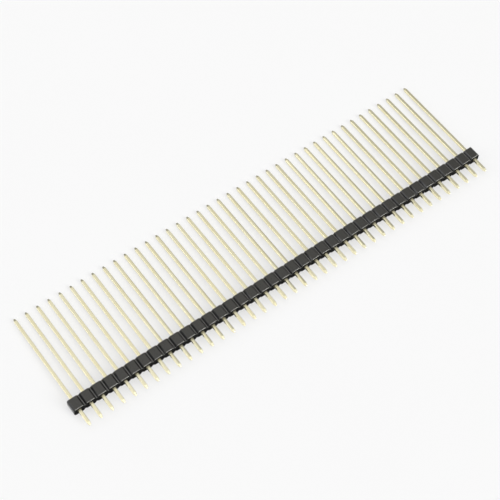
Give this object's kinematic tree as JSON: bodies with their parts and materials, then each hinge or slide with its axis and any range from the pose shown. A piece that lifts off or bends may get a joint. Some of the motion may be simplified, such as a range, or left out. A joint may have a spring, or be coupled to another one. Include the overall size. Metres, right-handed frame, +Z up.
{
  "type": "pin header strip",
  "caption": "Straight single-row breakaway pin header: a black moulded housing with long square pins on one side and short tails on the other.",
  "frame": {"origin": "centre of the bounding box, on the surface that the strip lies on", "axes": "+X along the row, +Y towards the long ends of the pins, +Z up; the strip leans about X by 2.21 degrees, resting on the lower far edge of the housing and on the long pins' points"},
  "size_m": [0.1014, 0.0268, 0.0023],
  "materials": {
    "housing": "fine moulded black, slightly glossy",
    "pin_plating": "thin pale gold plating, bright"
  },
  "bodies": {
    "root": {"housing": "housing", "pin_01": "pin_plating", "pin_02": "pin_plating", "pin_03": "pin_plating", "pin_04": "pin_plating", "pin_05": "pin_plating", "pin_06": "pin_plating", "pin_07": "pin_plating", "pin_08": "pin_plating", "pin_09": "pin_plating", "pin_10": "pin_plating", "pin_11": "pin_plating", "pin_12": "pin_plating", "pin_13": "pin_plating", "pin_14": "pin_plating", "pin_15": "pin_plating", "pin_16": "pin_plating", "pin_17": "pin_plating", "pin_18": "pin_plating", "pin_19": "pin_plating", "pin_20": "pin_plating", "pin_21": "pin_plating", "pin_22": "pin_plating", "pin_23": "pin_plating", "pin_24": "pin_plating", "pin_25": "pin_plating", "pin_26": "pin_plating", "pin_27": "pin_plating", "pin_28": "pin_plating", "pin_29": "pin_plating", "pin_30": "pin_plating", "pin_31": "pin_plating", "pin_32": "pin_plating", "pin_33": "pin_plating", "pin_34": "pin_plating", "pin_35": "pin_plating", "pin_36": "pin_plating", "pin_37": "pin_plating", "pin_38": "pin_plating", "pin_39": "pin_plating", "pin_40": "pin_plating"}
  },
  "joints": []
}
